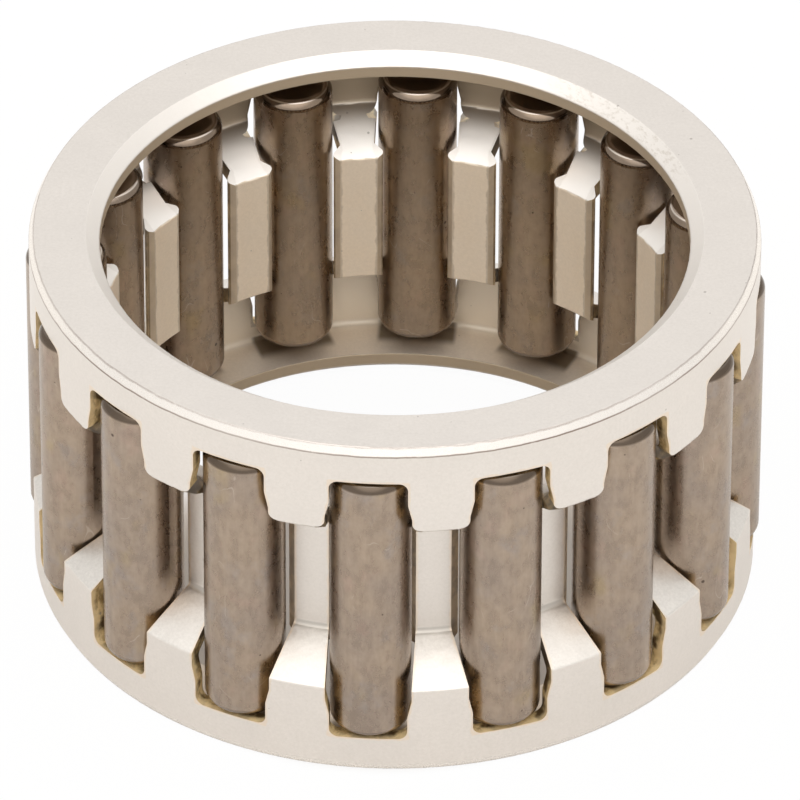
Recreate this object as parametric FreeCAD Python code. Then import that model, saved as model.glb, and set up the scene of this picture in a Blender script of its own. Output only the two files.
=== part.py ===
"""Needle roller and cage assembly: a one-piece steel cage that carries sixteen loose needle rollers.

Units are millimetres. The bearing axis is +Z, and the origin is on that axis in the lower end face.
The first roller lies on the -Y side, and the others follow at equal steps about the axis.
"""

import FreeCAD, Part

import math
import os

from FreeCAD import Vector

# Driving dimensions: the shaft, the housing and the width that the bearing is made for.
shaft_diameter = 25.0
housing_diameter = 32.0
cage_width = 17.3
roller_count = 16

# Needle rollers: their row just touches the shaft on its inner side and the housing on its outer side.
roller_diameter = (housing_diameter - shaft_diameter) / 2
roller_radius = roller_diameter / 2
pitch_radius = (housing_diameter + shaft_diameter) / 4
roller_length = 13.5
roller_corner = 0.45

# Cage section. The rings run inside the housing, and the middle of each bar is pressed in past the pitch circle.
running_gap = 0.22
sheet_thickness = 0.65
cage_radius = housing_diameter / 2 - running_gap
rim_inner_radius = cage_radius - sheet_thickness
hole_radius = shaft_diameter / 2 + running_gap
middle_inner_radius = hole_radius
middle_outer_radius = middle_inner_radius + sheet_thickness
flange_thickness = 1.05
rim_height = 4.36
slope_angle = math.radians(59)
outer_bevel_radial = 0.2
outer_bevel_axial = 0.38
hole_bevel_radial = 0.6
hole_bevel_axial = 0.48
edge_round = 0.06
bend_inside_round = 0.3
bend_outside_round = 0.3
rim_bend_round = 0.12
flange_root_round = 0.3

# Pockets. They are narrow in the rings, which keep the rollers from falling out of the cage, and wider
# between them, where noses on the bars keep the rollers from falling in. The shoulders between the two
# widths lie in the rings, and their heights are from the end face.
pocket_end_wall = 1.79
pocket_corner = 0.4
pocket_half_width_rim = 1.68
pocket_half_width_middle = 1.86
shoulder_start = 2.95
shoulder_end = 3.75
shoulder_start_round = 0.7
shoulder_end_round = 0.5

# In the upper ring each pocket flares just above the bend, so that the ring's corners are rounded off.
flare_corner = 0.38
flare_run_out = 0.06
flare_above_bend = 0.1

# Each side of a bar is drawn out into a blunt nose that reaches under the roller beside it. The nose is
# measured from the middle of the pocket and from the bore, before its tip is rounded.
nose_half_width = 1.36
nose_depth = 0.19
nose_round = 0.15
nose_lead_in = 0.6

pitch_angle = 360 / roller_count
axis_up = Vector(0, 0, 1)
on_axis = Vector(0, 0, 0)

# Points closer than this are one point, and the pocket tool stands this far clear of the sheet.
same_point = 1e-6
tool_overrun = 1.0


def rounded_wire(corners):
    """Closed wire through corners given as (point, radius), each corner rounded by a tangent arc."""
    count = len(corners)
    stretches = []
    for index, (point, radius) in enumerate(corners):
        before = corners[index - 1][0] - point
        after = corners[(index + 1) % count][0] - point
        if radius == 0:
            stretches.append((point, point, None))
            continue
        half_angle = before.getAngle(after) / 2
        tangent_length = radius / math.tan(half_angle)
        before.normalize()
        after.normalize()
        start = point + before * tangent_length
        end = point + after * tangent_length
        inward = before + after
        inward.normalize()
        middle = point + inward * (radius / math.sin(half_angle) - radius)
        stretches.append((start, end, middle))
    edges = []
    for index, (start, end, middle) in enumerate(stretches):
        if middle is not None:
            edges.append(Part.Arc(start, middle, end).toShape())
        next_start = stretches[(index + 1) % count][0]
        if end.distanceToPoint(next_start) > same_point:
            edges.append(Part.LineSegment(end, next_start).toShape())
    return Part.Wire(edges)


def section(points):
    """Face in the XZ plane from (radius, height, rounding) points."""
    return Part.Face(rounded_wire([(Vector(r, 0, z), rounding) for r, z, rounding in points]))


def half_section_outline():
    """Cage section below the middle of its width: the outer side upwards, and the inner side upwards."""
    outer_slope_rise = (cage_radius - middle_outer_radius) / math.tan(slope_angle)
    inner_slope_rise = (rim_inner_radius - middle_inner_radius) / math.tan(slope_angle)
    # The sheet keeps its thickness round the bend, so the inner bend sits a little nearer the end face.
    inner_rim_height = rim_height - sheet_thickness * math.tan(slope_angle / 2)
    # The plain band of each ring ends where the straight sides of the pockets begin.
    plain_band_top = pocket_end_wall + pocket_corner
    outer_side = [
        (cage_radius - outer_bevel_radial, 0, edge_round),
        (cage_radius, outer_bevel_axial, edge_round),
        (cage_radius, plain_band_top, 0),
        (cage_radius, rim_height, rim_bend_round),
        (middle_outer_radius, rim_height + outer_slope_rise, bend_outside_round),
    ]
    inner_side = [
        (hole_radius + hole_bevel_radial, 0, edge_round),
        (hole_radius, hole_bevel_axial, edge_round),
        (hole_radius, flange_thickness, edge_round),
        (rim_inner_radius, flange_thickness, flange_root_round),
        (rim_inner_radius, inner_rim_height, bend_inside_round),
        (middle_inner_radius, inner_rim_height + inner_slope_rise, rim_bend_round),
    ]
    return outer_side, inner_side


def mirrored(side):
    """The same side of the section above the middle of the width, from there to the upper end face."""
    return [(r, cage_width - z, rounding) for r, z, rounding in reversed(side)]


def cage_blank():
    """The ring before its pockets are cut: an M in section, the same all the way round."""
    outer_side, inner_side = half_section_outline()
    up_the_outside = outer_side + mirrored(outer_side)
    down_the_inside = list(reversed(inner_side + mirrored(inner_side)))
    return section(up_the_outside + down_the_inside).revolve(on_axis, axis_up, 360)


def pocket_outline():
    """Pocket as it is seen from outside: narrow and square in both rings, wider between its shoulders."""
    side = [
        (pocket_half_width_rim, pocket_end_wall, pocket_corner),
        (pocket_half_width_rim, shoulder_start, shoulder_start_round),
        (pocket_half_width_middle, shoulder_end, shoulder_end_round),
    ]
    flare_height = cage_width - rim_height + flare_above_bend
    flare_width = flare_corner + flare_run_out
    flare = [
        (pocket_half_width_middle, flare_height - flare_width, 0),
        (pocket_half_width_middle + flare_width, flare_height - flare_run_out, 0),
        (pocket_half_width_middle, flare_height, flare_corner),
    ]
    right_side = side + flare + [(x, cage_width - z, r) for x, z, r in reversed(side)]
    left_side = [(-x, z, r) for x, z, r in reversed(right_side)]
    corners = [(Vector(x, 0, z), r) for x, z, r in right_side + left_side]
    return Part.Face(rounded_wire(corners))


def pocket_cutter():
    """Tool for the pocket on the -Y side: the outline seen from outside, pinched in by the bars' noses."""
    tool_inner = hole_radius - tool_overrun
    tool_outer = cage_radius + tool_overrun
    seen_from_outside = pocket_outline()
    seen_from_outside.translate(Vector(0, -tool_outer, 0))
    straight_cut = seen_from_outside.extrude(Vector(0, tool_outer - tool_inner, 0))
    nose_tip = middle_inner_radius + nose_depth
    # Outside the nose, the sides of the bar are parallel. Inside it, they run back at 45 degrees.
    parallel_start = math.sqrt(middle_outer_radius ** 2 - pocket_half_width_middle ** 2)
    lead_half_width = nose_half_width + nose_lead_in
    # Further out than the bars, nothing holds the outline in, so that it can flare.
    open_radius = (middle_outer_radius + rim_inner_radius) / 2
    open_half_width = pocket_half_width_middle + tool_overrun
    right_edge = [
        (lead_half_width, tool_inner, 0),
        (lead_half_width, nose_tip - nose_lead_in, 0),
        (nose_half_width, nose_tip, nose_round),
        (pocket_half_width_middle, parallel_start, 0),
        (pocket_half_width_middle, open_radius, 0),
        (open_half_width, open_radius, 0),
        (open_half_width, tool_outer, 0),
    ]
    left_edge = [(-x, depth, rounding) for x, depth, rounding in reversed(right_edge)]
    corners = [(Vector(x, -depth, 0), rounding) for x, depth, rounding in right_edge + left_edge]
    pinched_cut = Part.Face(rounded_wire(corners)).extrude(axis_up * cage_width)
    return straight_cut.common(pinched_cut)


def turned(shape, index):
    """The shape moved round the axis to the place of the roller with that index."""
    copy = shape.copy()
    copy.rotate(on_axis, axis_up, index * pitch_angle)
    return copy


def cage():
    """One-piece cage: the blank with a pocket for every roller."""
    cutter = pocket_cutter()
    cutters = [turned(cutter, index) for index in range(roller_count)]
    return cage_blank().cut(cutters)


def needle_roller():
    """Needle roller on the -Y side: a ground cylinder with flat ends and rounded corners."""
    low = (cage_width - roller_length) / 2
    high = low + roller_length
    outline = [
        (0, low, 0),
        (roller_radius, low, roller_corner),
        (roller_radius, high, roller_corner),
        (0, high, 0),
    ]
    roller = section(outline).revolve(on_axis, axis_up, 360)
    roller.translate(Vector(0, -pitch_radius, 0))
    return roller


def save(shape, name):
    """Write one solid to its STEP file."""
    solids = shape.Solids
    if len(solids) != 1 or not shape.isValid():
        raise ValueError(f"{name} is {len(solids)} solids, valid: {shape.isValid()}")
    solids[0].exportStep(f"parts/{name}.step")


def main():
    os.makedirs("parts", exist_ok=True)
    save(cage(), "cage")
    roller = needle_roller()
    for index in range(roller_count):
        save(turned(roller, index), f"needle_roller_{index + 1:02d}")


main()
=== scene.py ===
"""Needle roller and cage assembly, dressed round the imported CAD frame.

Everything is in metres, with +Z along the bearing axis and the lower end face of the cage on the floor.
The texture sizes below are given per millimetre, because the bearing is only 32 mm across.
"""

import math

import bpy
from mathutils import Matrix, Vector


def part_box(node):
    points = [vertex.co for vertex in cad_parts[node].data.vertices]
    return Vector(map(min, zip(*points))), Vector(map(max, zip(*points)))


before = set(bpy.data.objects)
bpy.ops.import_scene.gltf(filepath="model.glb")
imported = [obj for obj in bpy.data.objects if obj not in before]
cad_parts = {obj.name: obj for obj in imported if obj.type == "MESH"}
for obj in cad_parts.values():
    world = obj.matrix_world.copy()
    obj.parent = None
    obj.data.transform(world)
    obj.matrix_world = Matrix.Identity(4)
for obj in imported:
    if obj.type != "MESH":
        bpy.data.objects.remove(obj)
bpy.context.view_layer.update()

MM = 0.001

# Sizes read from the CAD frame.
cage_low, cage_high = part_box("cage")
CAGE_RADIUS = cage_high.x
CAGE_WIDTH = cage_high.z - cage_low.z
MIDDLE = Vector((0, 0, (cage_low.z + cage_high.z) / 2))
ROLLERS = sorted(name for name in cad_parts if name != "cage")

# Places on the cage section and round its pockets that the materials pick out.
OUTER_BEVEL_RADIAL = 0.2 * MM
OUTER_BEVEL_AXIAL = 0.38 * MM
HOLE_RADIUS = 12.72 * MM
HOLE_BEVEL_AXIAL = 0.48 * MM
FLANGE_THICKNESS = 1.05 * MM
BAR_OUTER_RADIUS = 13.37 * MM
RIM_INNER_RADIUS = 15.13 * MM
SUMP_OIL_AND_SHADE_RADIUS = 13.43 * MM
RIM_HEIGHT = 4.36 * MM
BEND_HEIGHT = 3.99 * MM
SLOPE_END = 5.81 * MM
POCKET_STEP = 2 * math.pi / len(ROLLERS)
POCKET_END = 1.79 * MM
POCKET_HALF_RIM = 1.68 * MM
POCKET_HALF_MIDDLE = 1.86 * MM
POCKET_HALF_INSIDE = 1.66 * MM
SHOULDER_START = 2.95 * MM
SHOULDER_END = 3.75 * MM

# Where the hole's bevel is scuffed: its direction from the axis, and how far it spreads to each side.
SCUFF_ANGLE = math.radians(42)
SCUFF_SPREAD = math.radians(24)

# The camera: a long lens, well above the bearing and a little to its right.
CAMERA_AZIMUTH = math.radians(3.98)
CAMERA_ELEVATION = math.radians(36.98)
CAMERA_ROLL = math.radians(0.19)
CAMERA_DISTANCE = 30.5 * CAGE_RADIUS
CAMERA_LENS = 497.7
AIM_RIGHT = 0.0152 * CAGE_RADIUS
AIM_UP = -0.0304 * CAGE_RADIUS

# The soft box: its height, and how far its full and its fading light reach from its middle.
BOX_ELEVATION = math.radians(57)
BOX_INNER = math.radians(15)
BOX_OUTER = math.radians(42)
BOX_STRENGTH = 0.8

# Inside the ring the table has a painted shade, soft-edged and set towards the front, so that it is lighter
# at its back, where light falls through the hole.
# It lies a hair below the ring, so that no two faces share a place, and reaches far past it on all sides.
PAINTED_SHADE_OFFSET = 3.4 * MM
PAINTED_SHADE_SOFT = 4.0 * MM
TABLE_GAP = 0.01 * MM
TABLE_HALF = 3.0


class Graph:
    """Short calls for building a material's node tree."""

    def __init__(self, material):
        material.use_nodes = True
        self.tree = material.node_tree
        self.tree.nodes.clear()
        self.where = self.node("ShaderNodeTexCoord")
        self.position = self.where.outputs["Object"]
        self.normal = self.where.outputs["Normal"]

    def node(self, kind, **settings):
        made = self.tree.nodes.new(kind)
        for name, value in settings.items():
            setattr(made, name, value)
        return made

    def put(self, socket, value):
        """Link a socket to a value's socket, or set it to a number, colour or vector."""
        if isinstance(value, bpy.types.NodeSocket):
            self.tree.links.new(value, socket)
        else:
            socket.default_value = value

    def math(self, operation, first, second=0.0, clamp=False):
        made = self.node("ShaderNodeMath", operation=operation, use_clamp=clamp)
        self.put(made.inputs[0], first)
        self.put(made.inputs[1], second)
        return made.outputs[0]

    def vector(self, operation, first, second=(0, 0, 0)):
        made = self.node("ShaderNodeVectorMath", operation=operation)
        self.put(made.inputs[0], first)
        self.put(made.inputs[1], second)
        return made

    def step(self, value, low, high):
        """0 at low and 1 at high, smooth between them. low may be above high."""
        made = self.node("ShaderNodeMapRange", interpolation_type="SMOOTHSTEP")
        made.inputs["From Min"].default_value = low
        made.inputs["From Max"].default_value = high
        self.put(made.inputs["Value"], value)
        return made.outputs["Result"]

    def level(self, value, low, high, out_low, out_high):
        made = self.node("ShaderNodeMapRange")
        made.inputs["From Min"].default_value = low
        made.inputs["From Max"].default_value = high
        made.inputs["To Min"].default_value = out_low
        made.inputs["To Max"].default_value = out_high
        self.put(made.inputs["Value"], value)
        return made.outputs["Result"]

    def band(self, value, centre, half_width, soft):
        """1 within half_width of centre, and 0 beyond a soft edge."""
        away = self.math("ABSOLUTE", self.math("SUBTRACT", value, centre))
        return self.step(away, half_width + soft, half_width)

    def noise(self, per_mm, detail=3.0, roughness=0.5, stretch=(1, 1, 1), seed=0.0):
        """Noise of so many cells per millimetre. A stretch below 1 makes the cells longer along that axis."""
        scaled = self.vector("MULTIPLY", self.position, tuple(per_mm / MM * s for s in stretch))
        moved = self.vector("ADD", scaled.outputs[0], (seed, seed * 1.7, seed * 0.3))
        made = self.node("ShaderNodeTexNoise")
        made.inputs["Scale"].default_value = 1.0
        made.inputs["Detail"].default_value = detail
        made.inputs["Roughness"].default_value = roughness
        self.put(made.inputs["Vector"], moved.outputs[0])
        return made.outputs["Fac"]

    def specks(self, per_mm, size, share, seed=0.0):
        """Small round spots, with a radius of so many cells, in this share of the cells."""
        scaled = self.vector("MULTIPLY", self.position, (per_mm / MM,) * 3)
        moved = self.vector("ADD", scaled.outputs[0], (seed, seed, seed))
        made = self.node("ShaderNodeTexVoronoi")
        made.inputs["Scale"].default_value = 1.0
        self.put(made.inputs["Vector"], moved.outputs[0])
        spot = self.step(made.outputs["Distance"], size, size * 0.6)
        cell = self.node("ShaderNodeSeparateColor")
        self.put(cell.inputs[0], made.outputs["Color"])
        chosen = self.math("LESS_THAN", cell.outputs[0], share)
        return self.math("MULTIPLY", spot, chosen)

    def mix(self, share, first, second, blend="MIX"):
        made = self.node("ShaderNodeMix", data_type="RGBA", blend_type=blend)
        self.put(made.inputs["Factor"], share)
        self.put(made.inputs["A"], (*first, 1) if isinstance(first, tuple) else first)
        self.put(made.inputs["B"], (*second, 1) if isinstance(second, tuple) else second)
        return made.outputs["Result"]

    def bump(self, height, distance, under=None):
        made = self.node("ShaderNodeBump")
        made.inputs["Strength"].default_value = 1.0
        made.inputs["Distance"].default_value = distance
        self.put(made.inputs["Height"], height)
        if under is not None:
            self.put(made.inputs["Normal"], under)
        return made.outputs["Normal"]

    def metal(self, colour, roughness, normal, metallic=1.0):
        shader = self.node("ShaderNodeBsdfPrincipled")
        self.put(shader.inputs["Metallic"], metallic)
        self.put(shader.inputs["Base Color"], colour)
        self.put(shader.inputs["Roughness"], roughness)
        self.put(shader.inputs["Normal"], normal)
        out = self.node("ShaderNodeOutputMaterial")
        self.tree.links.new(shader.outputs["BSDF"], out.inputs["Surface"])


def most(graph, *values):
    """The largest of several masks."""
    result = values[0]
    for value in values[1:]:
        result = graph.math("MAXIMUM", result, value)
    return result


def all_of(graph, *values):
    """The product of several masks."""
    result = values[0]
    for value in values[1:]:
        result = graph.math("MULTIPLY", result, value)
    return result


def pocket_edge_distance(g, position, radius, from_end):
    """How far a point is, round the ring, from the side of the nearest pocket."""
    angle = g.math("ARCTAN2", position.outputs["Y"], position.outputs["X"])
    turn = g.math("ROUND", g.math("DIVIDE", angle, POCKET_STEP))
    from_centre = g.math("SUBTRACT", angle, g.math("MULTIPLY", turn, POCKET_STEP))
    across = g.math("MULTIPLY", radius, g.math("ABSOLUTE", g.math("SINE", from_centre)))
    by_height = g.level(from_end, SHOULDER_START, SHOULDER_END, POCKET_HALF_RIM, POCKET_HALF_MIDDLE)
    by_radius = g.level(radius, HOLE_RADIUS, BAR_OUTER_RADIUS, POCKET_HALF_INSIDE, POCKET_HALF_MIDDLE)
    return across, g.math("SUBTRACT", across, g.math("MINIMUM", by_height, by_radius))


class RingPlace:
    """Where on the ring a point is, and which way its surface faces."""

    def __init__(self, g):
        position = g.node("ShaderNodeSeparateXYZ")
        g.put(position.inputs[0], g.position)
        self.height = position.outputs["Z"]
        flat = g.vector("MULTIPLY", g.position, (1, 1, 0))
        self.radius = g.vector("LENGTH", flat.outputs[0]).outputs["Value"]
        self.outward = g.vector("NORMALIZE", flat.outputs[0]).outputs[0]
        around = g.vector("CROSS_PRODUCT", (0, 0, 1), self.outward).outputs[0]
        self.facing_out = g.vector("DOT_PRODUCT", g.normal, self.outward).outputs["Value"]
        self.facing_round = g.math("ABSOLUTE", g.vector("DOT_PRODUCT", g.normal, around).outputs["Value"])
        facing_up = g.vector("DOT_PRODUCT", g.normal, (0, 0, 1)).outputs["Value"]
        self.facing_end = g.math("ABSOLUTE", facing_up)
        from_middle = g.math("ABSOLUTE", g.math("SUBTRACT", self.height, CAGE_WIDTH / 2))
        self.from_end = g.math("SUBTRACT", CAGE_WIDTH / 2, from_middle)
        self.across, self.from_pocket = pocket_edge_distance(g, position, self.radius, self.from_end)
        self.upper = g.step(self.height, CAGE_WIDTH * 0.5, CAGE_WIDTH * 0.6)
        # Faint clouds and a fine grain, which several of the finishes share.
        self.clouds = g.noise(0.35, detail=4.0, roughness=0.6)
        self.grain = g.noise(7.0, detail=4.0, roughness=0.7, seed=3.0)


def plain_plating(g, at):
    """The plating itself, which is nearly even."""
    colour = g.mix(g.level(at.clouds, 0.3, 0.7, 0, 1), (0.76, 0.717, 0.676), (0.795, 0.749, 0.705))
    return g.mix(g.level(at.grain, 0.3, 0.7, 0.7, 0), colour, (0.68, 0.637, 0.59))


def slopes_with_burnish_and_painted_light(g, at, colour):
    """The slopes of the bars, burnished; the inner slopes are painted near white, a painted highlight, and
    darker at their top, painted shade; the hollow below is darkened with dirt and painted shade.
    """
    slope = g.band(at.from_end, (BEND_HEIGHT + SLOPE_END) / 2, (SLOPE_END - BEND_HEIGHT) / 2, 0.12 * MM)
    slope = g.math("MULTIPLY", slope, g.step(at.facing_end, 0.5, 0.75))
    inner_slope = g.math("MULTIPLY", slope, g.step(at.facing_out, -0.1, -0.4))
    burnish_and_painted_light = g.mix(g.level(at.grain, 0.25, 0.75, 0, 1), (0.64, 0.605, 0.56), (0.79, 0.755, 0.71))
    # The inner slopes are painted near white: a painted highlight for the light that falls on them through
    # the hole.
    burnish_and_painted_light = g.mix(inner_slope, burnish_and_painted_light, (0.97, 0.935, 0.89))
    # The upper part of the inner slopes is painted dark brown: painted shade under the upper rim.
    shaded = g.step(at.height, CAGE_WIDTH * 0.728, CAGE_WIDTH * 0.765)
    shaded = g.math("MULTIPLY", inner_slope, shaded)
    burnish_and_painted_light = g.mix(g.math("MULTIPLY", shaded, 0.85), burnish_and_painted_light, (0.24, 0.18, 0.12))
    colour = g.mix(slope, colour, burnish_and_painted_light)
    # The hollow where the slope meets the bar's middle is darkened: dirt together with painted shade.
    hollow_shade_and_dirt = g.band(at.from_end, SLOPE_END, 0.05 * MM, 0.13 * MM)
    hollow_shade_and_dirt = all_of(g, hollow_shade_and_dirt, g.step(at.facing_out, 0.3, 0.5))
    colour = g.mix(g.math("MULTIPLY", hollow_shade_and_dirt, 0.75), colour, (0.36, 0.33, 0.29))
    return colour, slope, inner_slope


def hole_bevels(g, at, colour):
    """The bevels of the hole: painted lighter than the plating, a painted highlight, and scuffed along a part
    of the upper one.
    """
    bevel = g.step(at.from_end, HOLE_BEVEL_AXIAL, HOLE_BEVEL_AXIAL * 0.85)
    bevel = g.math("MULTIPLY", bevel, g.step(at.facing_out, -0.2, -0.4))
    # The bevel is painted lighter than the plating: a painted highlight for the light it catches.
    colour = g.mix(bevel, colour, (0.83, 0.79, 0.745))
    scuff_side = (math.cos(SCUFF_ANGLE), math.sin(SCUFF_ANGLE), 0)
    near_scuff = g.vector("DOT_PRODUCT", at.outward, scuff_side).outputs["Value"]
    near_scuff = g.step(near_scuff, math.cos(SCUFF_SPREAD), math.cos(SCUFF_SPREAD / 2))
    scratches = g.noise(3.0, detail=5.0, roughness=0.7, stretch=(1, 1, 3.0), seed=51.0)
    scuff = all_of(g, bevel, near_scuff, g.step(scratches, 0.48, 0.66), at.upper)
    colour = g.mix(g.math("MULTIPLY", scuff, 0.4), colour, (0.50, 0.44, 0.36))
    return colour, bevel


def outer_bevels(g, at, colour):
    """The outer bevels of the rings, bright and smooth."""
    bevel = g.step(at.from_end, OUTER_BEVEL_AXIAL, OUTER_BEVEL_AXIAL * 0.8)
    bevel = all_of(g, bevel, g.step(at.facing_out, 0.5, 0.8))
    colour = g.mix(g.math("MULTIPLY", bevel, 0.9), colour, (0.86, 0.815, 0.765))
    return colour, bevel


def oil_film_and_painted_light(g, at, colour, slope):
    """Inside the ring a warm tint for old oil on the flanges, also painted light, with painted light and
    shade on the rim walls and oil with painted shade round the pockets.
    """
    oil_and_light_film = all_of(g, g.step(at.facing_out, -0.05, -0.6), g.step(at.radius, CAGE_RADIUS, RIM_INNER_RADIUS),
                  g.step(at.from_end, HOLE_BEVEL_AXIAL * 0.9, HOLE_BEVEL_AXIAL * 1.2),
                  g.math("SUBTRACT", 1.0, slope))
    on_flange = g.band(at.from_end, FLANGE_THICKNESS, 0.12 * MM, 0.1 * MM)
    inside_rim = g.step(at.radius, RIM_INNER_RADIUS + 0.3 * MM, RIM_INNER_RADIUS + 0.1 * MM)
    on_flange = g.math("MULTIPLY", on_flange, inside_rim)
    oil_and_light_film = most(g, oil_and_light_film, g.math("MULTIPLY", on_flange, 0.6))
    # The warm tint is old oil and also painted light: it is kept light for the light inside the ring.
    tint = g.mix(g.level(at.clouds, 0.3, 0.7, 0, 1), (0.92, 0.77, 0.59), (0.905, 0.78, 0.625))
    tint = g.mix(g.level(at.grain, 0.3, 0.7, 0.5, 0), tint, (0.76, 0.63, 0.475))
    hole_wall = g.step(at.radius, HOLE_RADIUS + 0.1 * MM, HOLE_RADIUS + 0.03 * MM)
    on_edge = g.step(at.from_end, FLANGE_THICKNESS * 1.2, FLANGE_THICKNESS)
    tint = g.mix(g.math("MULTIPLY", hole_wall, on_edge), tint, (0.45, 0.35, 0.235))
    # The upper rim wall is painted darker, painted shade under the flange together with oil; the lower rim
    # wall is painted lighter, painted light from above.
    on_rim = g.step(at.radius, RIM_INNER_RADIUS - 0.7 * MM, RIM_INNER_RADIUS - 0.1 * MM)
    upper_wall_shade_and_oil = g.math("MULTIPLY", on_rim, g.step(at.height, CAGE_WIDTH * 0.7, CAGE_WIDTH * 0.82))
    tint = g.mix(g.math("MULTIPLY", upper_wall_shade_and_oil, 0.9), tint, (0.40, 0.315, 0.21))
    lower_wall_painted_light = g.math("MULTIPLY", on_rim, g.step(at.height, RIM_HEIGHT * 1.1, RIM_HEIGHT * 0.9))
    tint = g.mix(lower_wall_painted_light, tint, (1.0, 0.90, 0.75))
    colour = g.mix(g.math("MULTIPLY", oil_and_light_film, 0.92), colour, tint)
    # The flange face round the pockets is painted dark brown: oil together with painted shade.
    sump_oil_and_shade = all_of(g, on_flange, g.step(at.radius, SUMP_OIL_AND_SHADE_RADIUS, SUMP_OIL_AND_SHADE_RADIUS + 0.7 * MM),
                  g.step(at.across, POCKET_HALF_MIDDLE, POCKET_HALF_RIM - 0.1 * MM))
    colour = g.mix(g.math("MULTIPLY", sump_oil_and_shade, 0.85), colour, (0.16, 0.11, 0.06))
    return colour, oil_and_light_film


def cut_faces(g, at, colour):
    """The cut sides and ends of the pockets: raw, brown and golden, brightest at their outer edge, with
    painted shade on the bars' sloping inner walls.
    """
    past_end = g.step(at.from_end, POCKET_END - 0.1 * MM, POCKET_END)
    cut_side = all_of(g, g.step(at.facing_round, 0.45, 0.8), past_end)
    end_height = g.band(at.from_end, POCKET_END, 0.25 * MM, 0.1 * MM)
    cut = most(g, cut_side, all_of(g, end_height, g.step(at.facing_end, 0.3, 0.6)))
    patches = g.noise(2.0, detail=5.0, roughness=0.65, stretch=(1, 1, 0.6), seed=7.0)
    stain = g.mix(g.step(patches, 0.34, 0.58), (0.40, 0.265, 0.11), (0.92, 0.71, 0.37))
    dark_spots = g.step(g.noise(1.0, detail=3.0, seed=21.0), 0.56, 0.42)
    stain = g.mix(dark_spots, stain, (0.12, 0.075, 0.03))
    ragged_radius = g.math("ADD", at.radius, g.level(patches, 0.3, 0.7, -0.1 * MM, 0.1 * MM))
    outer_edge = g.step(ragged_radius, CAGE_RADIUS - 0.4 * MM, CAGE_RADIUS - 0.1 * MM)
    stain = g.mix(g.math("MULTIPLY", outer_edge, 0.7), stain, (0.98, 0.78, 0.46))
    on_bar = g.step(at.from_end, RIM_HEIGHT, SLOPE_END)
    pale = g.level(patches, 0.3, 0.7, 0.25, 0.8)
    stain = g.mix(all_of(g, on_bar, pale), stain, (0.80, 0.67, 0.50))
    # The sloping inner cut walls of the bars are painted dark brown: painted shade.
    nose_painted_shade = all_of(g, on_bar, g.step(at.facing_out, -0.3, -0.5), g.step(at.facing_out, -0.85, -0.75))
    stain = g.mix(g.math("MULTIPLY", nose_painted_shade, 0.8), stain, (0.24, 0.155, 0.08))
    return g.mix(cut, colour, stain), cut, patches


def pocket_rims(g, at, colour, cut):
    """A ragged stained rim round each pocket: dark on the bars' inner faces, golden on the outside."""
    ragged = g.noise(1.5, detail=4.0, roughness=0.6, seed=31.0)
    ragged = g.level(ragged, 0.3, 0.7, -0.06 * MM, 0.06 * MM)
    beside = g.step(g.math("ADD", at.from_pocket, ragged), 0.12 * MM, 0.03 * MM)
    beside = all_of(g, beside, g.step(at.from_end, POCKET_END - 0.05 * MM, POCKET_END))
    past_end = all_of(g, g.band(g.math("ADD", at.from_end, ragged), POCKET_END, 0.05 * MM, 0.06 * MM),
                      g.step(at.across, POCKET_HALF_RIM + 0.08 * MM, POCKET_HALF_RIM))
    not_cut = g.math("SUBTRACT", 1.0, cut, clamp=True)
    dark_rim = all_of(g, beside, g.step(at.facing_out, -0.4, -0.7), not_cut)
    colour = g.mix(g.math("MULTIPLY", dark_rim, 0.35), colour, (0.20, 0.13, 0.065))
    gold_rim = all_of(g, most(g, beside, past_end), g.step(at.facing_out, 0.1, 0.4), not_cut)
    return g.mix(g.math("MULTIPLY", gold_rim, 0.38), colour, (0.80, 0.62, 0.42))


def bevel_lines(g, at, colour):
    """Thin dark lines where the upper outer bevel meets the face and the side of the ring."""
    waver = g.noise(1.2, detail=3.0, roughness=0.6, seed=11.0)
    waver = g.level(waver, 0.3, 0.7, -0.015 * MM, 0.015 * MM)
    strength = g.step(g.noise(1.4, detail=4.0, roughness=0.65, seed=13.0), 0.12, 0.42)
    fading = g.level(g.noise(0.12, detail=2.0, seed=43.0), 0.35, 0.6, 0.45, 1.0)
    side_height = OUTER_BEVEL_AXIAL + 0.015 * MM
    side_line = g.band(g.math("ADD", at.from_end, waver), side_height, 0.012 * MM, 0.045 * MM)
    side_line = all_of(g, side_line, g.step(at.radius, CAGE_RADIUS * 0.97, CAGE_RADIUS * 0.98))
    face_radius = CAGE_RADIUS - OUTER_BEVEL_RADIAL
    face_line = g.band(g.math("ADD", at.radius, waver), face_radius, 0.008 * MM, 0.04 * MM)
    face_line = all_of(g, face_line, g.step(at.from_end, 0.3 * MM, 0.1 * MM))
    lines = most(g, side_line, g.math("MULTIPLY", face_line, 0.55))
    lines = all_of(g, lines, at.upper, strength, fading)
    return g.mix(g.math("MULTIPLY", lines, 0.85), colour, (0.17, 0.105, 0.075))


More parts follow.
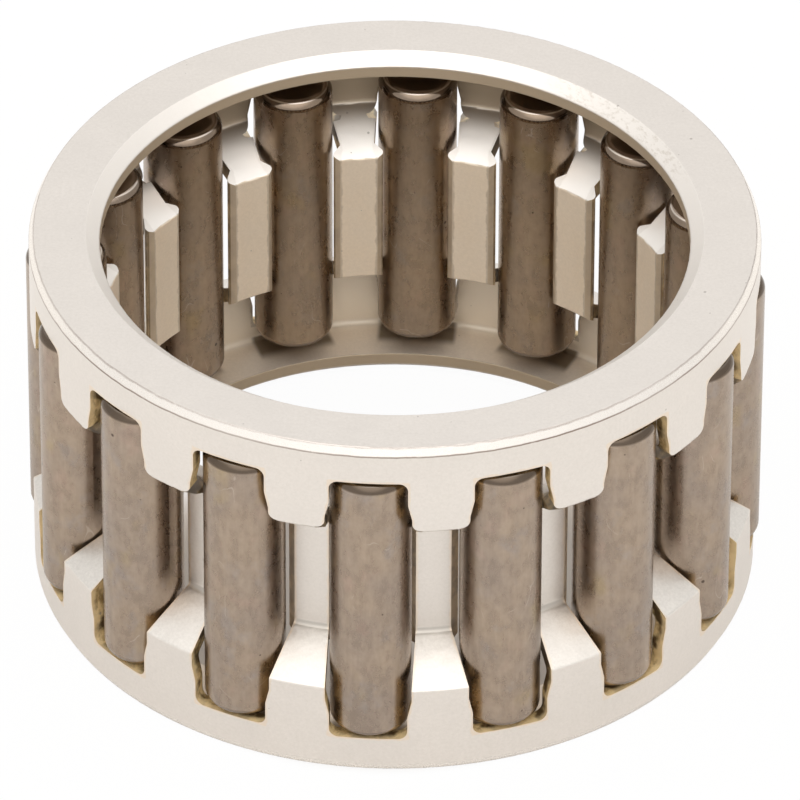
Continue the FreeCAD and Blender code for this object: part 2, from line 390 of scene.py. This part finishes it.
def plating_material():
    """Satin silver plating, oil-stained on the cut sides of the pockets and warmer inside the ring, with
    painted light and shade on the slopes, hole bevels, walls, flanges and the bars' inner cut walls.
    """
    material = bpy.data.materials.new("cage_plating")
    g = Graph(material)
    at = RingPlace(g)
    colour = plain_plating(g, at)
    colour, slope, inner_slope = slopes_with_burnish_and_painted_light(g, at, colour)
    colour, hole_bevel = hole_bevels(g, at, colour)
    colour, outer_bevel = outer_bevels(g, at, colour)
    colour, oil_and_light_film = oil_film_and_painted_light(g, at, colour, slope)
    colour, cut, patches = cut_faces(g, at, colour)
    colour = pocket_rims(g, at, colour, cut)
    colour = bevel_lines(g, at, colour)
    pits = most(g, g.specks(0.9, 0.07, 0.22, seed=2.0), g.specks(2.1, 0.08, 0.05, seed=5.0))
    colour = g.mix(g.math("MULTIPLY", pits, 0.55), colour, (0.30, 0.27, 0.24))

    rough = g.level(at.grain, 0.3, 0.7, 0.34, 0.46)
    smoother = most(g, g.math("MULTIPLY", outer_bevel, 0.12), g.math("MULTIPLY", slope, 0.06))
    rougher = most(g, g.math("MULTIPLY", cut, 0.1), g.math("MULTIPLY", most(g, oil_and_light_film, hole_bevel), 0.14))
    rough = g.math("ADD", g.math("SUBTRACT", rough, smoother), rougher)
    oil_and_painted_light_and_shade = most(g, cut, oil_and_light_film, inner_slope)
    metallic = g.math("SUBTRACT", 1.0, g.math("MULTIPLY", oil_and_painted_light_and_shade, 0.55))

    relief = g.math("ADD", g.math("MULTIPLY", at.grain, 0.5), g.math("MULTIPLY", pits, -1.5))
    relief = g.math("ADD", relief, g.math("MULTIPLY", all_of(g, cut, patches), 2.5))
    flatter = g.math("SUBTRACT", 1.0, g.math("MULTIPLY", outer_bevel, 0.8))
    relief = g.math("MULTIPLY", relief, flatter)
    normal = g.bump(relief, 0.006 * MM)
    normal = g.bump(g.noise(0.8, detail=2.0, seed=4.0), 0.02 * MM, under=normal)
    g.metal(colour, rough, normal, metallic=metallic)
    return material


def roller_material():
    """Ground needle roller steel: mottled brown-grey heat tints, faint streaks, pits and scratches, with
    painted shade, painted light and a painted highlight at the ends.
    """
    material = bpy.data.materials.new("roller_steel")
    g = Graph(material)
    facing_up = g.vector("DOT_PRODUCT", g.normal, (0, 0, 1)).outputs["Value"]
    up = g.math("ABSOLUTE", facing_up)
    outward = g.vector("NORMALIZE", g.vector("MULTIPLY", g.position, (1, 1, 0)).outputs[0]).outputs[0]
    facing_out = g.vector("DOT_PRODUCT", g.normal, outward).outputs["Value"]
    corner = g.step(up, 0.04, 0.2)
    # Most of the end corner is painted darker: painted shade that leaves only a thin highlight.
    corner_painted_shade = all_of(g, g.step(up, 0.08, 0.35), g.step(up, 0.86, 0.8))
    # A thin band of the end corner is painted lighter: a painted highlight.
    painted_glint = g.band(up, 0.86, 0.025, 0.03)
    # The flat end face is painted lighter: painted light.
    flat_end = g.step(up, 0.93, 0.99)
    # The upper corner facing outwards is painted near black: painted shade under the flange.
    oil_and_painted_light_and_shade = g.math("MULTIPLY", g.step(facing_up, 0.1, 0.35), g.step(facing_out, 0.0, 0.25))

    # Broad heat tints, then smaller bluish, pink and golden patches.
    tint = g.noise(0.4, detail=3.0, roughness=0.55, stretch=(1, 1, 0.7), seed=1.0)
    bloom = g.noise(0.75, detail=4.0, roughness=0.6, stretch=(1, 1, 0.8), seed=9.0)
    gold = g.noise(0.55, detail=3.0, stretch=(1, 1, 0.7), seed=15.0)
    colour = g.mix(g.step(tint, 0.32, 0.68), (0.335, 0.272, 0.225), (0.378, 0.298, 0.230))
    colour = g.mix(g.math("MULTIPLY", g.step(bloom, 0.54, 0.72), 0.45), colour, (0.315, 0.29, 0.285))
    colour = g.mix(g.math("MULTIPLY", g.step(bloom, 0.46, 0.28), 0.42), colour, (0.425, 0.305, 0.25))
    colour = g.mix(g.math("MULTIPLY", g.step(gold, 0.58, 0.74), 0.42), colour, (0.42, 0.325, 0.165))

    # Mottling at the scale of a tenth of a millimetre, and faint grinding streaks.
    mottle = g.noise(2.2, detail=5.0, roughness=0.62, stretch=(1, 1, 0.6), seed=8.0)
    streaks = g.noise(6.0, detail=3.0, roughness=0.6, stretch=(1, 1, 0.06), seed=5.0)
    colour = g.mix(g.level(mottle, 0.3, 0.52, 0.34, 0), colour, (0.19, 0.15, 0.12))
    colour = g.mix(g.level(mottle, 0.5, 0.72, 0, 0.26), colour, (0.56, 0.46, 0.37))
    colour = g.mix(g.level(streaks, 0.35, 0.65, 0.18, 0), colour, (0.25, 0.20, 0.16))

    # The side towards the axis has a thin brown film of oil.
    inward = g.step(facing_out, -0.2, -0.7)
    colour = g.mix(inward, colour, (0.97, 0.905, 0.79), blend="MULTIPLY")

    # Pits, and short scratches that run along the level lines of a smooth noise.
    pits = most(g, g.specks(0.8, 0.08, 0.16, seed=4.0), g.specks(1.7, 0.09, 0.06, seed=6.0))
    scratch = g.band(g.noise(0.9, detail=1.0, stretch=(1, 1, 0.5), seed=17.0), 0.5, 0.002, 0.005)
    scratch = g.math("MULTIPLY", scratch, g.step(g.noise(0.8, detail=1.0, seed=19.0), 0.6, 0.66))
    colour = g.mix(g.math("MULTIPLY", pits, 0.8), colour, (0.07, 0.05, 0.04))
    colour = g.mix(g.math("MULTIPLY", scratch, 0.35), colour, (0.62, 0.54, 0.47))
    # Painted shade on the end corners, painted light on the end faces, a painted highlight, and painted shade
    # on the upper outer corners.
    colour = g.mix(g.math("MULTIPLY", corner_painted_shade, 0.62), colour, (0.14, 0.11, 0.09))
    colour = g.mix(g.math("MULTIPLY", flat_end, 0.8), colour, (0.60, 0.50, 0.42))
    colour = g.mix(g.math("MULTIPLY", painted_glint, 0.7), colour, (0.62, 0.56, 0.50))
    colour = g.mix(g.math("MULTIPLY", oil_and_painted_light_and_shade, 0.85), colour, (0.10, 0.075, 0.055))

    rough = g.level(mottle, 0.3, 0.7, 0.24, 0.34)
    rough = g.math("SUBTRACT", rough, g.math("MULTIPLY", corner, 0.13))
    relief = g.math("ADD", g.math("MULTIPLY", streaks, 0.3), g.math("MULTIPLY", mottle, 0.5))
    relief = g.math("SUBTRACT", relief, g.math("MULTIPLY", pits, 2.0))
    relief = g.math("SUBTRACT", relief, g.math("MULTIPLY", scratch, 0.6))
    normal = g.bump(relief, 0.0018 * MM)
    g.metal(colour, rough, normal)
    return material


def dress(name, material):
    """Give a CAD node its finish."""
    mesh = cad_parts[name].data
    mesh.materials.clear()
    mesh.materials.append(material)


def floor():
    """White table: it looks white round the bearing; inside the ring its own shade shows, with a painted
    shade, a dimmer and browner glow that only the camera sees.
    """
    mesh = bpy.data.meshes.new("floor")
    signs = [(-1, -1), (1, -1), (1, 1), (-1, 1)]
    corners = [(x * TABLE_HALF, y * TABLE_HALF) for x, y in signs]
    mesh.from_pydata([(x, y, cage_low.z - TABLE_GAP) for x, y in corners], [], [(0, 1, 2, 3)])
    table = bpy.data.objects.new("floor", mesh)
    bpy.context.scene.collection.objects.link(table)
    material = bpy.data.materials.new("table_white")
    material.use_nodes = True
    nodes = material.node_tree.nodes
    links = material.node_tree.links
    nodes.clear()
    paint = nodes.new("ShaderNodeBsdfDiffuse")
    paint.inputs["Color"].default_value = (0.80, 0.79, 0.775, 1)
    glow = nodes.new("ShaderNodeEmission")
    where = nodes.new("ShaderNodeTexCoord")
    from_painted_shade = nodes.new("ShaderNodeVectorMath")
    from_painted_shade.operation = "DISTANCE"
    from_painted_shade.inputs[1].default_value = (0, -PAINTED_SHADE_OFFSET, cage_low.z)
    links.new(where.outputs["Object"], from_painted_shade.inputs[0])
    # The glow's share, its strength and how brown it is, each inside the ring, where they make the painted
    # shade, and on the open table.
    changing = []
    for inside_ring, on_table in ((0.5, 0.96), (0.18, 1.0), (1.0, 0.0)):
        made = nodes.new("ShaderNodeMapRange")
        made.interpolation_type = "SMOOTHSTEP"
        made.inputs["From Min"].default_value = HOLE_RADIUS - PAINTED_SHADE_SOFT
        made.inputs["From Max"].default_value = HOLE_RADIUS
        made.inputs["To Min"].default_value = inside_ring
        made.inputs["To Max"].default_value = on_table
        links.new(from_painted_shade.outputs["Value"], made.inputs["Value"])
        changing.append(made.outputs["Result"])
    glow_share, glow_strength, painted_shade_brownness = changing
    links.new(glow_strength, glow.inputs["Strength"])
    tone = nodes.new("ShaderNodeMix")
    tone.data_type = "RGBA"
    tone.inputs["A"].default_value = (1, 1, 1, 1)
    tone.inputs["B"].default_value = (1.0, 0.76, 0.54, 1)
    links.new(painted_shade_brownness, tone.inputs["Factor"])
    links.new(tone.outputs["Result"], glow.inputs["Color"])
    seen = nodes.new("ShaderNodeLightPath")
    share = nodes.new("ShaderNodeMath")
    share.operation = "MULTIPLY"
    links.new(seen.outputs["Is Camera Ray"], share.inputs[0])
    links.new(glow_share, share.inputs[1])
    both = nodes.new("ShaderNodeMixShader")
    links.new(share.outputs[0], both.inputs["Fac"])
    links.new(paint.outputs[0], both.inputs[1])
    links.new(glow.outputs[0], both.inputs[2])
    out = nodes.new("ShaderNodeOutputMaterial")
    links.new(both.outputs[0], out.inputs["Surface"])
    mesh.materials.append(material)


def studio():
    """Even white light from a tent, with a soft box high in front of the bearing."""
    world = bpy.data.worlds.new("tent")
    world.use_nodes = True
    nodes = world.node_tree.nodes
    links = world.node_tree.links
    background = nodes["Background"]
    where = nodes.new("ShaderNodeTexCoord")
    split = nodes.new("ShaderNodeSeparateXYZ")
    links.new(where.outputs["Generated"], split.inputs[0])
    towards_box = nodes.new("ShaderNodeVectorMath")
    towards_box.operation = "DOT_PRODUCT"
    towards_box.inputs[1].default_value = (
        math.sin(CAMERA_AZIMUTH) * math.cos(BOX_ELEVATION),
        -math.cos(CAMERA_AZIMUTH) * math.cos(BOX_ELEVATION),
        math.sin(BOX_ELEVATION),
    )
    links.new(where.outputs["Generated"], towards_box.inputs[0])

    def part(value, start, end, at_start, at_end):
        """One share of the light, which changes smoothly with a direction."""
        made = nodes.new("ShaderNodeMapRange")
        made.interpolation_type = "SMOOTHSTEP"
        made.inputs["From Min"].default_value = start
        made.inputs["From Max"].default_value = end
        made.inputs["To Min"].default_value = at_start
        made.inputs["To Max"].default_value = at_end
        links.new(value, made.inputs["Value"])
        return made.outputs["Result"]

    shares = [
        part(split.outputs["Z"], 0.62, 0.92, 0.0, 0.5),
        part(split.outputs["Y"], 0.2, -0.9, 0.95, 1.2),
        part(towards_box.outputs["Value"], math.cos(BOX_OUTER), math.cos(BOX_INNER), 0.0, BOX_STRENGTH),
    ]
    total = shares[0]
    for share in shares[1:]:
        both = nodes.new("ShaderNodeMath")
        both.operation = "ADD"
        links.new(total, both.inputs[0])
        links.new(share, both.inputs[1])
        total = both.outputs[0]
    links.new(total, background.inputs["Strength"])
    background.inputs["Color"].default_value = (1.0, 0.99, 0.975, 1)
    bpy.context.scene.world = world
    bpy.context.scene.view_settings.view_transform = "Standard"


def camera():
    """Long lens aimed close to the middle of the bearing."""
    data = bpy.data.cameras.new("camera")
    data.sensor_width = 36.0
    data.lens = CAMERA_LENS
    data.clip_start = 0.01
    data.clip_end = 20.0
    made = bpy.data.objects.new("camera", data)
    bpy.context.scene.collection.objects.link(made)
    away = Vector((
        math.sin(CAMERA_AZIMUTH) * math.cos(CAMERA_ELEVATION),
        -math.cos(CAMERA_AZIMUTH) * math.cos(CAMERA_ELEVATION),
        math.sin(CAMERA_ELEVATION),
    ))
    place = MIDDLE + away * CAMERA_DISTANCE
    level = (-away).to_track_quat("-Z", "Y").to_matrix()
    aim = MIDDLE + level @ Vector((AIM_RIGHT, AIM_UP, 0))
    facing = (aim - place).to_track_quat("-Z", "Y").to_matrix() @ Matrix.Rotation(CAMERA_ROLL, 3, "Z")
    made.matrix_world = Matrix.Translation(place) @ facing.to_4x4()
    bpy.context.scene.camera = made


def main():
    camera()
    studio()
    floor()
    dress("cage", plating_material())
    steel = roller_material()
    for name in ROLLERS:
        dress(name, steel)


main()
